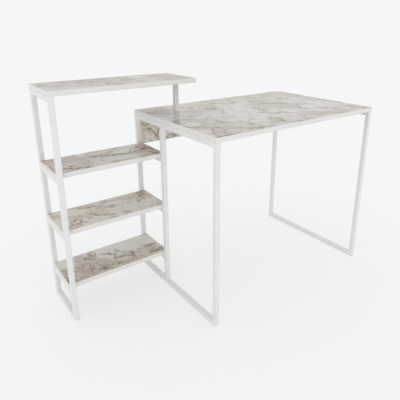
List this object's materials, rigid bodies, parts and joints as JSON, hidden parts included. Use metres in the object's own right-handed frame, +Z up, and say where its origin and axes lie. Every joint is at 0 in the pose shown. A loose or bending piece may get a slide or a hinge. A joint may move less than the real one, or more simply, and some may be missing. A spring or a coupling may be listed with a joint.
{
  "type": "computer desk with shelves",
  "caption": "Computer desk with an open shelf unit on its left: white square-tube frames, marble-pattern boards, a back panel and a raised top shelf that reaches over the desk.",
  "frame": {"origin": "on the floor, under the middle of the whole part's box", "axes": "+X to the right as seen by a person who sits at the desk, +Y to the back, +Z up"},
  "size_m": [1.296, 0.583, 0.896],
  "materials": {
    "white_frame": "satin white powder coat",
    "marble_board": "semi-gloss laminate with a pale veined marble pattern",
    "white_edge": "satin white edge band",
    "zinc_steel": "bright zinc plate"
  },
  "bodies": {
    "root": {"back_panel": "marble_board", "back_panel_band": "white_edge", "desk_left_back_leg": "white_frame", "desk_left_floor_rail": "white_frame", "desk_left_front_leg": "white_frame", "desk_left_lower_shelf_rail": "white_frame", "desk_left_mid_post": "white_frame", "desk_left_middle_shelf_rail": "white_frame", "desk_left_top_rail": "white_frame", "desk_left_upper_shelf_rail": "white_frame", "desk_right_back_leg": "white_frame", "desk_right_floor_rail": "white_frame", "desk_right_front_leg": "white_frame", "desk_right_top_rail": "white_frame", "desk_top": "marble_board", "desk_top_band": "white_edge", "desk_top_screws": "zinc_steel", "ladder_back_post": "white_frame", "ladder_floor_rail": "white_frame", "ladder_front_post": "white_frame", "ladder_lower_shelf_rail": "white_frame", "ladder_middle_shelf_rail": "white_frame", "ladder_top_rail": "white_frame", "ladder_upper_shelf_rail": "white_frame", "left_lower_panel_tab": "white_frame", "left_upper_panel_tab": "white_frame", "lower_shelf": "marble_board", "lower_shelf_band": "white_edge", "middle_shelf": "marble_board", "middle_shelf_band": "white_edge", "panel_screws": "zinc_steel", "post_bolt": "zinc_steel", "post_foot_plate": "white_frame", "post_head_plate": "white_frame", "post_head_screws": "zinc_steel", "post_nut": "zinc_steel", "post_washer": "zinc_steel", "right_lower_panel_tab": "white_frame", "right_upper_panel_tab": "white_frame", "shelf_screws": "zinc_steel", "top_shelf": "marble_board", "top_shelf_band": "white_edge", "top_shelf_post": "white_frame", "top_shelf_screws": "zinc_steel", "upper_shelf": "marble_board", "upper_shelf_band": "white_edge"}
  },
  "joints": []
}
